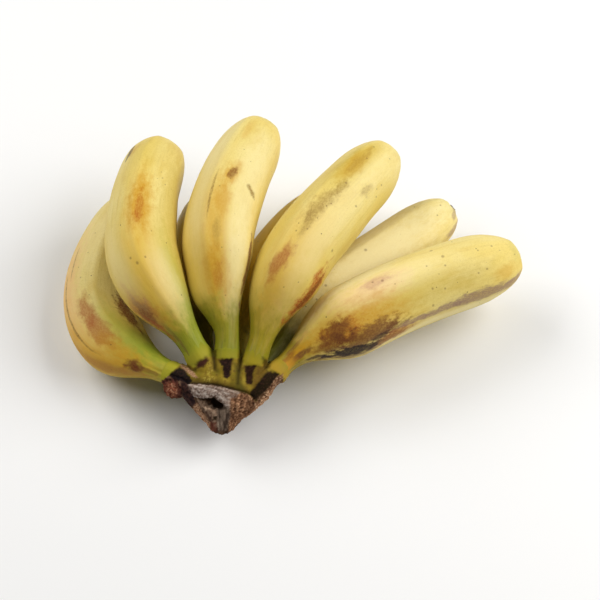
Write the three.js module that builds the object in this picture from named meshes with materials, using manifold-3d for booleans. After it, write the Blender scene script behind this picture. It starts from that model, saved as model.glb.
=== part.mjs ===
// A hand of baby bananas, in millimetres, +Z up, resting on the plane z = 0.
// Eight fingers grow in two rows from one woody crown at the front (-Y). The hand lies with its
// hollow side down: the upper row arches over the lower row, and every finger bends to the right
// as it leaves the crown. The hand is built with the crown near the origin and then moved so that
// the middle of its footprint is the origin.
import * as THREE from "three";
import Module from "manifold-3d";
import { mergeVertices } from "three/addons/utils/BufferGeometryUtils.js";

const manifold = await Module();
manifold.setup();

// ---- Driving dimensions of a finger -------------------------------------------------------

const STALK_FLARE = 0.5; // the stalk is this much wider where it leaves the crown
const FLARE_LENGTH = 7;
const BODY_SWELL = 0.06; // the middle of the body is this share thicker than its ends
const BODY_TAPER = 0.05; // the body loses this share of its radius towards the tip
const TIP_LENGTH = 22;
const TIP_FULLNESS = 0.72; // 1 is an ellipse, less is blunter
const NUB_RADIUS = 2.4; // the stub the flower leaves on the tip
const NUB_HEIGHT = 1.5;

const CHEEK_LENGTH = 16; // a cheek fades out this far along the finger either way

const RIDGES = 5;
const RIDGE_SHARPNESS = 4.5; // higher is more angular
const SEGMENTS = 20; // around a finger, a multiple of RIDGES
const TRACE_STEP = 1; // between the steps that trace a finger's middle line
const STALK_STEPS = 4;
const NECK_STEPS = 6;
const BODY_STEPS = 8;
const TIP_STEPS = 7;

// Each finger's direction is given at five even steps from the crown to the tip: heading is the
// compass angle from +X towards +Y, and pitch is the climb above level. root is the middle of
// the stalk's end face, neck is where the stalk starts to swell and shoulder where it is full.
// cheek is where the fuller left side of the shoulder stands out most, and by how much.
// A finger that rests on the table is moved up or down until its belly touches it.
const FINGERS = [
  { name: "upper_finger_1", root: [-21.5, 6.5, 21.5], heading: [150, 134.5, 92.5, 69.5, 43],
    pitch: [-8, -10, -1, 3, 3], length: 117.5, radius: 13.8, stalk: 4.4, neck: 1.4, shoulder: 33.5,
    cheek: [24, 0], roll: 20, rests: true },
  { name: "upper_finger_2", root: [-9.5, 11, 26.7], heading: [124.4, 126.5, 93.7, 83.4, 72.6],
    pitch: [28, 23, 2, -7, -15], length: 114.5, radius: 14.9, stalk: 5, neck: 5.3, shoulder: 44.3,
    cheek: [25.8, 1.8], roll: 8, rests: false },
  { name: "upper_finger_3", root: [1.8, 10.5, 27.7], heading: [85, 100.9, 81.3, 73.9, 67],
    pitch: [28, 22, 2, -7, -14], length: 119.8, radius: 15.1, stalk: 4.7, neck: 12.7, shoulder: 46.4,
    cheek: [23.7, 5], roll: 0, rests: false },
  { name: "upper_finger_4", root: [13, 8.5, 26.7], heading: [68, 67.2, 56.9, 55.6, 54.5],
    pitch: [28, 22, 2, -7, -14], length: 120.3, radius: 14.6, stalk: 4.6, neck: 10.1, shoulder: 40.4,
    cheek: [21, 2.4], roll: 0, rests: false },
  { name: "upper_finger_5", root: [22.2, 4.4, 25.1], heading: [48.5, 31, 29.9, 23, 29],
    pitch: [7, 5.5, -1, -4.5, -8.5], length: 119.3, radius: 15.6, stalk: 4, neck: 6.2, shoulder: 38.2,
    cheek: [24, 0], roll: 10, rests: false },
  { name: "lower_finger_1", root: [-7, 12, 16.5], heading: [98, 102, 90, 87, 87],
    pitch: [-4, -7, 1, 3, 3], length: 92, radius: 12, stalk: 4.3, neck: 14, shoulder: 40,
    cheek: [24, 0], roll: 0, rests: true },
  { name: "lower_finger_2", root: [5, 12, 16], heading: [82, 79, 66, 54, 46],
    pitch: [-4, -3, -2, -1, 0], length: 106, radius: 12.9, stalk: 4.3, neck: 16, shoulder: 46,
    cheek: [24, 0], roll: 0, rests: true },
  { name: "lower_finger_3", root: [16.3, 9.7, 16], heading: [62.3, 55.4, 38.2, 42.5, 36.5],
    pitch: [-2, -5.5, 1, 1, 1], length: 122, radius: 13.2, stalk: 4.1, neck: 18, shoulder: 52.7,
    cheek: [24, 0], roll: 0, rests: true },
];

// ---- Driving dimensions of the crown ------------------------------------------------------

const JOINT_GAP = 0.3; // between a finger's stalk and the crown
const SOCKET_LENGTH = 13;
const SOCKET_GROWTH = 1.45; // how much wider a socket gets inside the crown
const SOCKET_RINGS = 5;
const HEART = [0, -5, 11]; // the sockets bend down towards this point inside the crown
const HEART_PULL = 0.5; // 0 is a straight socket, 1 ends at the heart
const CROWN_SEGMENTS = 28;
const CROWN_FULLNESS = 2.6; // 2 is an ellipse, more is boxier
const LUMP_SEGMENTS = 20; // around the lip, the hollow and the stub
const LUMP_RINGS = 14;

// Sections across the cushion from the fingers (+Y) to the apex where the hand was torn off.
const CUSHION = [
  { y: 6, left: -19, right: 21, z: 20.5, halfHeight: 6.5 },
  { y: 1, left: -19, right: 20, z: 20, halfHeight: 9 },
  { y: -5, left: -14, right: 17, z: 18.5, halfHeight: 9 },
  { y: -10, left: -9, right: 12.5, z: 16.5, halfHeight: 7.5 },
  { y: -14, left: -4.5, right: 7.5, z: 14.5, halfHeight: 5 },
  { y: -16.5, left: -1.5, right: 3, z: 13, halfHeight: 2.5 },
];

// The raised woody lip, the hollow rotted out below it and the stub of a ninth finger.
const LIP = { centre: [-3.5, -4, 24.8], radii: [12, 3.8, 3], tilt: [0, 6, -8] };
const HOLLOW = { centre: [-3, -9.6, 23.5], radii: [5.5, 2.4, 5], tilt: [35, 0, -12] };
const STUB = { centre: [-18.5, 3.8, 15.8], radii: [6.2, 5, 5], tilt: [0, 0, 20] };

// The knife cut along the right of the crown: the face it leaves passes through this point.
const CUT = { point: [15.9, -4.3, 15.5], facing: [0.74, -0.62, -0.28], size: 60 };

// ---- Materials ----------------------------------------------------------------------------

const peel = new THREE.MeshStandardMaterial({ color: 0xd8bd5a, roughness: 0.55, metalness: 0 });
const driedCrown = new THREE.MeshStandardMaterial({ color: 0x6b4f3a, roughness: 0.9, metalness: 0 });

// ---- Shapes -------------------------------------------------------------------------------

const WELD_DISTANCE = 1e-4; // points nearer than this are one point
const radians = THREE.MathUtils.degToRad;
const UP = new THREE.Vector3(0, 0, 1);

// Joins rings of points, each the same number of points, and closes both ends on a middle point.
function skin(rings, startPole, endPole) {
  const count = rings[0].length;
  const points = [...rings.flat(), startPole, endPole];
  const startIndex = points.length - 2;
  const endIndex = points.length - 1;
  const last = (rings.length - 1) * count;
  const faces = [];
  for (let j = 0; j < count; j++) {
    const k = (j + 1) % count;
    faces.push(startIndex, k, j, endIndex, last + j, last + k);
    for (let i = 0; i + 1 < rings.length; i++) {
      const [a, b] = [i * count + j, i * count + k];
      const [c, d] = [a + count, b + count];
      faces.push(a, b, d, a, d, c);
    }
  }
  const geometry = new THREE.BufferGeometry().setFromPoints(points);
  geometry.setIndex(faces);
  return geometry;
}

function middleOf(ring) {
  const middle = new THREE.Vector3();
  for (const point of ring) middle.addScaledVector(point, 1 / ring.length);
  return middle;
}

function toSolid(geometry) {
  const bare = new THREE.BufferGeometry();
  bare.setAttribute("position", geometry.getAttribute("position"));
  bare.setIndex(geometry.index);
  const merged = mergeVertices(bare, WELD_DISTANCE);
  return new manifold.Manifold(
    new manifold.Mesh({
      numProp: 3,
      vertProperties: new Float32Array(merged.attributes.position.array),
      triVerts: new Uint32Array(merged.index.array),
    }),
  );
}

function toGeometry(solid) {
  const mesh = solid.getMesh();
  const geometry = new THREE.BufferGeometry();
  geometry.setAttribute("position", new THREE.BufferAttribute(mesh.vertProperties, 3));
  geometry.setIndex(new THREE.BufferAttribute(mesh.triVerts, 1));
  return geometry;
}

// ---- One finger ---------------------------------------------------------------------------

// The direction in which a finger grows at share t of its length.
function growth(finger) {
  const turns = new THREE.CatmullRomCurve3(
    finger.heading.map((h, i) => new THREE.Vector3(radians(h), radians(finger.pitch[i]), 0)),
    false,
    "catmullrom",
  );
  return (t) => {
    const { x: heading, y: pitch } = turns.getPoint(THREE.MathUtils.clamp(t, 0, 1));
    return new THREE.Vector3(
      Math.cos(pitch) * Math.cos(heading),
      Math.cos(pitch) * Math.sin(heading),
      Math.sin(pitch),
    );
  };
}

// The distances along a finger at which it has a ring, closest together where it changes most.
function ringDistances({ length, neck, shoulder }) {
  const distances = [];
  const spread = (from, to, steps) => {
    for (let i = 0; i < steps; i++) distances.push(from + ((to - from) * i) / steps);
  };
  const tipStart = length - TIP_LENGTH;
  spread(0, neck, STALK_STEPS);
  spread(neck, shoulder, NECK_STEPS);
  spread(shoulder, tipStart, BODY_STEPS);
  for (let i = 0; i < TIP_STEPS; i++) {
    distances.push(tipStart + TIP_LENGTH * Math.sin((Math.PI / 2) * (i / TIP_STEPS)));
  }
  return [...distances, length, length + NUB_HEIGHT];
}

// The finger's mean radius at a distance from its root.
function radiusAt(finger, distance) {
  const { length, neck, shoulder, radius } = finger;
  const flare = STALK_FLARE * (1 - THREE.MathUtils.smoothstep(distance, 0, FLARE_LENGTH));
  const share = Math.min(distance / length, 1);
  const middle = Math.sin(Math.PI * share);
  const body = radius * (1 - BODY_SWELL * (1 - middle) - BODY_TAPER * share * share);
  const swell = THREE.MathUtils.smoothstep(distance, neck, shoulder);
  const full = THREE.MathUtils.lerp(finger.stalk + flare, body, swell);
  const intoTip = THREE.MathUtils.clamp((distance - length) / TIP_LENGTH + 1, 0, 1);
  const closing = Math.pow(1 - intoTip * intoTip, TIP_FULLNESS / 2);
  return NUB_RADIUS + (full - NUB_RADIUS) * closing;
}

// How far the finger's left side stands out at a distance from its root.
function cheekAt({ cheek: [middle, height] }, distance) {
  const share = (distance - middle) / CHEEK_LENGTH;
  return height * Math.pow(Math.max(0, 1 - share * share), 2);
}

// A rounded pentagon of mean radius about 1, as a function of the angle.
function ridgedSection(angle) {
  let sum = 0;
  for (let face = 0; face < RIDGES; face++) {
    const facing = Math.cos(angle - (2 * Math.PI * face) / RIDGES);
    if (facing > 0) sum += Math.pow(facing, RIDGE_SHARPNESS);
  }
  return Math.pow(sum, -1 / RIDGE_SHARPNESS);
}

// One ring of a finger: the rounded pentagon of this radius, square to the direction along it and
// fuller on its left by the cheek.
function fingerRing(centre, along, radius, roll, cheek) {
  const side = new THREE.Vector3().crossVectors(along, UP).normalize();
  const top = new THREE.Vector3().crossVectors(side, along);
  return Array.from({ length: SEGMENTS }, (_, j) => {
    const angle = (2 * Math.PI * j) / SEGMENTS;
    const turned = angle + radians(roll);
    const leftness = Math.max(0, -Math.cos(turned));
    const reach = radius * ridgedSection(angle) + cheek * leftness * leftness;
    return centre
      .clone()
      .addScaledVector(side, reach * Math.cos(turned))
      .addScaledVector(top, -reach * Math.sin(turned));
  });
}

// The rings of a finger up to a distance from its root, every one wider by the clearance.
function fingerRings(finger, limit, clearance) {
  const direction = growth(finger);
  const centre = new THREE.Vector3(...finger.root);
  const rings = [];
  let walked = 0;
  for (const distance of ringDistances(finger).filter((d) => d <= limit)) {
    while (walked < distance) {
      const step = Math.min(TRACE_STEP, distance - walked);
      centre.addScaledVector(direction((walked + step / 2) / finger.length), step);
      walked += step;
    }
    const along = direction(distance / finger.length);
    const radius = radiusAt(finger, distance) + clearance;
    rings.push(fingerRing(centre, along, radius, finger.roll, cheekAt(finger, distance)));
  }
  return rings;
}

function fingerGeometry(finger) {
  const rings = fingerRings(finger, Infinity, 0);
  return skin(rings, middleOf(rings[0]), middleOf(rings[rings.length - 1]));
}

// The same finger at the height where it touches the table.
function settled(finger) {
  if (!finger.rests) return finger;
  const geometry = fingerGeometry(finger);
  geometry.computeBoundingBox();
  const [x, y, z] = finger.root;
  return { ...finger, root: [x, y, z - geometry.boundingBox.min.z] };
}

// ---- The crown ----------------------------------------------------------------------------

// The part of the crown that runs back from a finger's stalk, wider the further in it is.
function socket(finger) {
  const along = growth(finger)(0);
  const radius = radiusAt(finger, 0);
  const heart = new THREE.Vector3(...HEART);
  const rings = Array.from({ length: SOCKET_RINGS }, (_, i) => {
    const share = 1 - i / (SOCKET_RINGS - 1);
    const centre = new THREE.Vector3(...finger.root);
    centre.addScaledVector(along, -JOINT_GAP - SOCKET_LENGTH * share);
    centre.lerp(heart, HEART_PULL * share * share);
    return fingerRing(centre, along, radius * (1 + (SOCKET_GROWTH - 1) * share), finger.roll, 0);
  });
  return toSolid(skin(rings, middleOf(rings[0]), middleOf(rings[SOCKET_RINGS - 1])));
}

// The start of a finger with room around it, to keep the crown off its neighbours' stalks.
function stalkRoom(finger) {
  const rings = fingerRings(finger, finger.shoulder, JOINT_GAP);
  const behind = growth(finger)(0).multiplyScalar(-JOINT_GAP);
  rings.unshift(rings[0].map((point) => point.clone().add(behind)));
  return toSolid(skin(rings, middleOf(rings[0]), middleOf(rings[rings.length - 1])));
}

function cushion() {
  const rings = CUSHION.map(({ y, left, right, z, halfHeight }) =>
    Array.from({ length: CROWN_SEGMENTS }, (_, j) => {
      const angle = (2 * Math.PI * j) / CROWN_SEGMENTS;
      const [c, s] = [Math.cos(angle), Math.sin(angle)];
      const bulge = Math.pow(
        Math.pow(Math.abs(c), CROWN_FULLNESS) + Math.pow(Math.abs(s), CROWN_FULLNESS),
        -1 / CROWN_FULLNESS,
      );
      return new THREE.Vector3(
        (left + right) / 2 + ((right - left) / 2) * bulge * c,
        y,
        z + halfHeight * bulge * s,
      );
    }),
  );
  return toSolid(skin(rings, middleOf(rings[0]), middleOf(rings[rings.length - 1])));
}

function ellipsoid({ centre, radii, tilt }) {
  const geometry = new THREE.SphereGeometry(1, LUMP_SEGMENTS, LUMP_RINGS);
  const turn = new THREE.Euler(...tilt.map(radians));
  const placing = new THREE.Matrix4().compose(
    new THREE.Vector3(...centre),
    new THREE.Quaternion().setFromEuler(turn),
    new THREE.Vector3(...radii),
  );
  return toSolid(geometry.applyMatrix4(placing));
}

// The block of space that the knife took away.
function beyondTheCut() {
  const facing = new THREE.Vector3(...CUT.facing).normalize();
  const geometry = new THREE.BoxGeometry(CUT.size, CUT.size, CUT.size);
  geometry.translate(0, 0, CUT.size / 2);
  geometry.applyQuaternion(new THREE.Quaternion().setFromUnitVectors(UP, facing));
  return toSolid(geometry.translate(...CUT.point));
}

function crownGeometry(fingers) {
  const { Manifold } = manifold;
  const grown = Manifold.union([
    cushion(),
    ellipsoid(LIP),
    ellipsoid(STUB),
    ...fingers.map((finger) => socket(finger)),
  ]);
  const lost = Manifold.union([ellipsoid(HOLLOW), beyondTheCut()]);
  const stalks = Manifold.union(fingers.map((finger) => stalkRoom(finger)));
  return toGeometry(grown.subtract(lost).subtract(stalks));
}

// ---- The hand -----------------------------------------------------------------------------

const fingers = FINGERS.map(settled);
const hand = new THREE.Group();
const add = (name, geometry, material) => {
  const mesh = new THREE.Mesh(geometry, material);
  mesh.name = name;
  hand.add(mesh);
};
add("crown", crownGeometry(fingers), driedCrown);
for (const finger of fingers) add(finger.name, fingerGeometry(finger), peel);

const { x, y } = new THREE.Box3().setFromObject(hand).getCenter(new THREE.Vector3());
for (const mesh of hand.children) mesh.geometry.translate(-x, -y, 0);

export default hand;
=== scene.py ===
"""A hand of baby bananas: eight fingers in two rows on one dried crown, on a pale studio floor."""

import math

import bmesh
import bpy
import numpy as np
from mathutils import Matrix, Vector, noise


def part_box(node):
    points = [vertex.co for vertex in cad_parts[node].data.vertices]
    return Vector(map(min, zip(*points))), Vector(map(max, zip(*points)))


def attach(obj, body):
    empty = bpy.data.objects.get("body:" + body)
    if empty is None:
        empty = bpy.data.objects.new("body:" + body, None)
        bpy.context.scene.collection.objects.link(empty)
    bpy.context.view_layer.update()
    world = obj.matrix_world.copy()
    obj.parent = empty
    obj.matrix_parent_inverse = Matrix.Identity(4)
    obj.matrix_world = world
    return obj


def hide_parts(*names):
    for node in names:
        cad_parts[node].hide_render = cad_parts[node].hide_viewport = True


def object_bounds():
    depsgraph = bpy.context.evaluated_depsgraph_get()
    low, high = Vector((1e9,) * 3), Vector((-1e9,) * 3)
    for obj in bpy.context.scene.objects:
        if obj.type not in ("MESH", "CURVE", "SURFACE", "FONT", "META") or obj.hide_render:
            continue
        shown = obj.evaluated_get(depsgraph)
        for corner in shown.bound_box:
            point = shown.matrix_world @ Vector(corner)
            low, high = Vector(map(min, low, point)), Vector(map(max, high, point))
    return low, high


MM = 0.001
BODY = "root"

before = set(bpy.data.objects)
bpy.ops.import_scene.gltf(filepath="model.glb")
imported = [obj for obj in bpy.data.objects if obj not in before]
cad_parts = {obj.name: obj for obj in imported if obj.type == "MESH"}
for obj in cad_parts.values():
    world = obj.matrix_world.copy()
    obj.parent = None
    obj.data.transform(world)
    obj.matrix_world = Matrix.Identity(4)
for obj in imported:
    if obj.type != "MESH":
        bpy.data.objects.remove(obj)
cad_low, cad_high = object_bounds()
cad_middle = (cad_low + cad_high) / 2
scene = bpy.context.scene


# ---- Colours and nodes --------------------------------------------------------------------

def tint(red, green, blue):
    """A linear colour from the usual 0 to 255 values."""
    def linear(value):
        share = value / 255
        return share / 12.92 if share <= 0.04045 else ((share + 0.055) / 1.055) ** 2.4
    return (linear(red), linear(green), linear(blue), 1.0)


class Nodes:
    """Adds nodes to one tree. An input is a number, a colour, a vector or another node's output."""

    def __init__(self, tree):
        self.tree = tree

    def add(self, kind, inputs=None, **settings):
        node = self.tree.nodes.new(kind)
        for name, value in settings.items():
            setattr(node, name, value)
        for key, value in (inputs or {}).items():
            self.plug(node.inputs[key], value)
        return node

    def plug(self, socket, value):
        if isinstance(value, bpy.types.NodeSocket):
            self.tree.links.new(value, socket)
        else:
            socket.default_value = value

    def math(self, operation, a, b=0.0, c=0.0):
        inputs = {0: a, 1: b, 2: c}
        return self.add("ShaderNodeMath", inputs, operation=operation).outputs[0]

    def hypot(self, a, b):
        squares = self.math("ADD", self.math("POWER", a, 2.0), self.math("POWER", b, 2.0))
        return self.math("SQRT", squares)

    def vector(self, operation, a, b=(0, 0, 0)):
        inputs = {0: a, 1: b}
        return self.add("ShaderNodeVectorMath", inputs, operation=operation).outputs[0]

    def ramp(self, value, low, high, to_low=0.0, to_high=1.0):
        """A smooth step: to_low below low, to_high above high."""
        inputs = {"Value": value, "From Min": low, "From Max": high, "To Min": to_low, "To Max": to_high}
        node = self.add("ShaderNodeMapRange", inputs, interpolation_type="SMOOTHSTEP")
        return node.outputs["Result"]

    def noise(self, place, scale, detail=3.0, roughness=0.55):
        inputs = {"Vector": place, "Scale": scale, "Detail": detail, "Roughness": roughness}
        return self.add("ShaderNodeTexNoise", inputs).outputs["Fac"]

    def long_noise(self, place, along, scale, detail=3.0, roughness=0.6):
        """Noise that is stretched along the finger, the more the smaller along is."""
        return self.noise(self.vector("MULTIPLY", place, (1.0, 1.0, along)), scale, detail, roughness)

    def blend(self, share, a, b, kind="MIX"):
        node = self.add("ShaderNodeMix", data_type="RGBA", blend_type=kind)
        self.plug(node.inputs["Factor"], share)
        self.plug(node.inputs["A"], a)
        self.plug(node.inputs["B"], b)
        return node.outputs["Result"]

    def dots(self, place, scale, size, share):
        """Small round spots scattered through space, share of the cells having one."""
        inputs = {"Vector": place, "Scale": scale, "Randomness": 1.0}
        cells = self.add("ShaderNodeTexVoronoi", inputs, feature="F1")
        pick = self.add("ShaderNodeSeparateColor", {"Color": cells.outputs["Color"]})
        near = self.ramp(cells.outputs["Distance"], size, size * 0.55)
        kept = self.math("GREATER_THAN", pick.outputs[0], 1 - share)
        return self.math("MULTIPLY", near, kept)


def new_material(name):
    material = bpy.data.materials.new(name)
    material.use_nodes = True
    material.node_tree.nodes.clear()
    return material, Nodes(material.node_tree)


def finish_material(nodes, colour, roughness, height, depth, **constants):
    """Colour, roughness and relief go to one surface shader; constants are set on its sockets."""
    bump = nodes.add("ShaderNodeBump", {"Height": height, "Distance": depth, "Strength": 1.0})
    shader = nodes.add("ShaderNodeBsdfPrincipled")
    nodes.plug(shader.inputs["Base Color"], colour)
    nodes.plug(shader.inputs["Roughness"], roughness)
    nodes.plug(shader.inputs["Normal"], bump.outputs["Normal"])
    for name, value in constants.items():
        shader.inputs[name.replace("_", " ")].default_value = value
    output = nodes.add("ShaderNodeOutputMaterial")
    nodes.tree.links.new(shader.outputs["BSDF"], output.inputs["Surface"])


# ---- Camera, floor and light --------------------------------------------------------------

VIEW_HEIGHT = math.radians(55)  # above the horizon
VIEW_DISTANCE = 595 * MM
VIEW_OFFSET = Vector((3.2, -15.75, -3.4)) * MM  # from the middle of the hand
LENS = 85  # mm, on a sensor of 36 mm
SENSOR = 36
SOFTBOX_HEIGHT = math.radians(44)  # above the horizon
WARM_WHITE = (1.0, 0.99, 0.965)
BACKDROP = (1.0, 0.95, 0.86, 1.0)
BACKDROP_STRENGTH = 0.1
FLOOR_WHITE = (0.87, 0.876, 0.89, 1.0)
FLOOR_REACH = 2.5  # from the middle of the floor to its edge, in metres


def set_camera():
    data = bpy.data.cameras.new("camera")
    data.lens = LENS
    data.sensor_width = SENSOR
    camera = bpy.data.objects.new("camera", data)
    back = Vector((0, -math.cos(VIEW_HEIGHT), math.sin(VIEW_HEIGHT)))
    camera.location = cad_middle + VIEW_OFFSET + back * VIEW_DISTANCE
    camera.rotation_euler = (math.pi / 2 - VIEW_HEIGHT, 0, 0)
    scene.collection.objects.link(camera)
    scene.camera = camera


def softbox(name, compass, width, depth, power):
    """A soft light, 1 m from the hand. Compass is its angle from +X towards +Y in degrees."""
    data = bpy.data.lights.new(name, "AREA")
    data.shape = "RECTANGLE"
    data.size = width
    data.size_y = depth
    data.energy = power
    data.color = WARM_WHITE
    light = bpy.data.objects.new(name, data)
    turn = math.radians(compass)
    level = math.cos(SOFTBOX_HEIGHT)
    place = Vector((level * math.cos(turn), level * math.sin(turn), math.sin(SOFTBOX_HEIGHT)))
    light.location = place
    light.rotation_euler = place.to_track_quat("Z", "Y").to_euler()
    scene.collection.objects.link(light)


def set_studio():
    scene.view_settings.view_transform = "Standard"
    world = bpy.data.worlds.new("studio")
    world.use_nodes = True
    backdrop = world.node_tree.nodes["Background"]
    backdrop.inputs["Color"].default_value = BACKDROP
    backdrop.inputs["Strength"].default_value = BACKDROP_STRENGTH
    scene.world = world
    softbox("right_softbox", compass=4, width=1.0, depth=0.7, power=11.0)
    softbox("left_softbox", compass=154, width=0.9, depth=0.6, power=7.0)


def make_floor():
    bm = bmesh.new()
    bmesh.ops.create_grid(bm, x_segments=2, y_segments=2, size=FLOOR_REACH)
    mesh = bpy.data.meshes.new("floor")
    bm.to_mesh(mesh)
    bm.free()
    floor = bpy.data.objects.new("floor", mesh)
    scene.collection.objects.link(floor)
    material, nodes = new_material("floor")
    place = nodes.add("ShaderNodeTexCoord").outputs["Object"]
    grain = nodes.noise(place, 60.0)
    finish_material(nodes, FLOOR_WHITE, 0.85, grain, 0.02 * MM)
    mesh.materials.append(material)


# ---- Finger shapes ------------------------------------------------------------------------

FINE_LEVELS = 3
WELD_DISTANCE = 1e-6
POLE_EDGES = 12  # only the middle point of a finger's end has more edges than this

RIDGES = 5
RIDGE_HEIGHT = 0.28  # mm
RIDGE_HALF_ANGLE = 7  # degrees
SHOULDER_LENGTH = 20  # mm past the neck in which the ridges come up
FADE_LENGTH = 12  # mm before the tip in which they fade
STALK_FADE = 10  # mm past the neck in which the stalk's furrows fade
END_LENGTH = 7  # mm at the tip that are puckered


def rings_of(bm):
    """The points of a finger in rings, from the middle of the end at the crown to that of the tip."""
    crown_low, crown_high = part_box("crown")
    heart = (crown_low + crown_high) / 2
    poles = [v for v in bm.verts if len(v.link_edges) > POLE_EDGES]
    poles.sort(key=lambda v: (v.co - heart).length)
    ring = {poles[0]: 0}
    front = [poles[0]]
    while front:
        reached = []
        for vert in front:
            for edge in vert.link_edges:
                other = edge.other_vert(vert)
                if other not in ring:
                    ring[other] = ring[vert] + 1
                    reached.append(other)
        front = reached
    last = ring[poles[-1]]
    return [[v for v in bm.verts if ring[v] == k] for k in range(last + 1)], ring


def straight_copy(node):
    """The CAD finger as quads, and each point's place on the same finger pulled straight, in mm."""
    bm = bmesh.new()
    bm.from_mesh(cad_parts[node].data)
    bmesh.ops.remove_doubles(bm, verts=bm.verts, dist=WELD_DISTANCE)
    layer = bm.verts.layers.float_vector.new("straight")
    ring_layer = bm.verts.layers.int.new("ring")
    rings, ring = rings_of(bm)
    last = len(rings) - 1
    middles = [sum((v.co for v in group), Vector()) / len(group) for group in rings]
    walked = [0.0, 0.0]
    for k in range(2, last + 1):
        walked.append(walked[-1] + (middles[k] - middles[k - 1]).length)
    for k, group in enumerate(rings):
        along = (middles[min(k + 1, last)] - middles[max(k - 1, 1)]).normalized()
        side = along.cross(Vector((0, 0, 1))).normalized()
        top = side.cross(along)
        for vert in group:
            out = vert.co - middles[k]
            vert[layer] = Vector((out.dot(side), out.dot(top), walked[k])) / MM
            vert[ring_layer] = k
    # Of the edges that lead on to the next ring, the longer one slants across a quad, and goes
    slanting = []
    for k in range(1, last - 1):
        for vert in rings[k]:
            ahead = [e for e in vert.link_edges if ring[e.other_vert(vert)] == k + 1]
            slanting.append(max(ahead, key=lambda e: e.calc_length()))
    bmesh.ops.dissolve_edges(bm, edges=slanting, use_verts=False)
    return bm, middles


def new_piece(name, bm):
    """A new object with the bmesh's surface."""
    mesh = bpy.data.meshes.new(name)
    bm.to_mesh(mesh)
    bm.free()
    piece = bpy.data.objects.new(name, mesh)
    scene.collection.objects.link(piece)
    return piece


def bake_modifiers(piece):
    """Gives the piece the mesh that its modifiers make."""
    graph = bpy.context.evaluated_depsgraph_get()
    fresh = bpy.data.meshes.new_from_object(piece.evaluated_get(graph))
    piece.modifiers.clear()
    piece.data = fresh
    fresh.name = piece.name


def read_vectors(collection, name):
    """One vector property of every item, as rows of three numbers."""
    values = np.empty(len(collection) * 3, np.float32)
    collection.foreach_get(name, values)
    return values.reshape(-1, 3)


def stand_proud(mesh, relief):
    """Moves each point of the mesh outwards by its relief, in mm."""
    points = read_vectors(mesh.vertices, "co")
    outward = read_vectors(mesh.vertex_normals, "vector")
    points += outward * np.array(relief, np.float32)[:, None] * MM
    mesh.vertices.foreach_set("co", points.ravel())
    mesh.update()


def angle_gap(a, b):
    """How far two angles in degrees are apart, from -180 to 180."""
    return (a - b + 180) % 360 - 180


def within(share):
    """The share, held between 0 and 1."""
    return min(1, max(0, share))


def finger_relief(place, name, index):
    """How far the peel stands proud at a place on the straight finger, in mm."""
    spec = FINGERS[name]
    x, y, s = place
    angle = math.degrees(math.atan2(y, x))
    body = within((s - spec["neck"]) / SHOULDER_LENGTH) * within((spec["length"] - s) / FADE_LENGTH)
    stalk = 1 - within((s - spec["neck"]) / STALK_FADE)
    end = max(0.0, 1 - (spec["length"] + 1 - s) / END_LENGTH)
    shift = Vector((index * 37.0, 0, 0))  # makes every finger different

    def wave(across, along):
        return noise.noise(Vector((x * across, y * across, s * along)) + shift)

    relief = 0.5 * body * wave(0.07, 0.035)  # slow swells of the body
    relief += 0.07 * wave(0.8, 0.09)  # fine streaks along the peel
    relief += 0.22 * stalk * wave(0.7, 0.06)  # furrows of the stalk
    for k in range(RIDGES):
        gap = angle_gap(angle, spec["ridge"] + k * 360 / RIDGES)
        relief += RIDGE_HEIGHT * body * math.exp(-(gap / RIDGE_HALF_ANGLE) ** 2)
    for along, around, height, half_length, half_angle in DENTS.get(name, ()):
        gap = angle_gap(angle, around)
        relief += height * math.exp(-((s - along) / half_length) ** 2 - (gap / half_angle) ** 2)
    puckers = Vector((math.cos(math.radians(angle)) * 3, math.sin(math.radians(angle)) * 3, s * 0.2))
    relief += 0.5 * end * noise.noise(puckers + shift)
    return relief


# Where a finger is fuller or flatter than its even shape: mm along it, degrees around it, how far
# it stands proud in mm, and how far the bump or dent reaches along it in mm and around it in degrees.
DENTS = {
    "upper_finger_1": [(38, 190, 1.0, 24, 45)],
    "upper_finger_2": [(92, -5, -1.1, 18, 40), (116, 90, -1.3, 7, 400), (104, 165, 0.8, 9, 35)],
    "upper_finger_3": [(108, 140, -0.6, 14, 50)],
    "upper_finger_4": [(72, 0, 0.9, 18, 45), (110, 10, -0.7, 9, 45)],
    "upper_finger_5": [(112, 80, -0.7, 8, 50)],
    "lower_finger_3": [(82, 165, 0.9, 25, 45)],
}

# Painted shade: the lower row's stalks are coloured darker than the upper row's, as they lie in shadow
# under it
SHADED_LOWER_STALK = (106, 104, 16)

# Length, neck and green_end are mm along the finger: its tip, where the stalk starts to swell, and
# # where the green has faded. ridge is where its first ridge runs, in degrees around it, and stalk is
# # the colour of its stalk, which on the lower row is darkened as painted shade.
FINGERS = {
    "upper_finger_1": dict(length=117.5, neck=1.4, green_end=28, ridge=16, stalk=(142, 146, 30)),
    "upper_finger_2": dict(length=114.5, neck=5.3, green_end=34, ridge=28, stalk=(138, 140, 30)),
    "upper_finger_3": dict(length=119.8, neck=12.7, green_end=31, ridge=36, stalk=(124, 127, 22)),
    "upper_finger_4": dict(length=120.3, neck=10.1, green_end=31, ridge=36, stalk=(132, 126, 20)),
    "upper_finger_5": dict(length=119.3, neck=6.2, green_end=22, ridge=26, stalk=(146, 126, 28)),
    "lower_finger_1": dict(length=92, neck=14, green_end=46, ridge=36, stalk=SHADED_LOWER_STALK),
    "lower_finger_2": dict(length=106, neck=16, green_end=50, ridge=36, stalk=SHADED_LOWER_STALK),
    "lower_finger_3": dict(length=122, neck=18, green_end=36, ridge=36, stalk=SHADED_LOWER_STALK),
}

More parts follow.
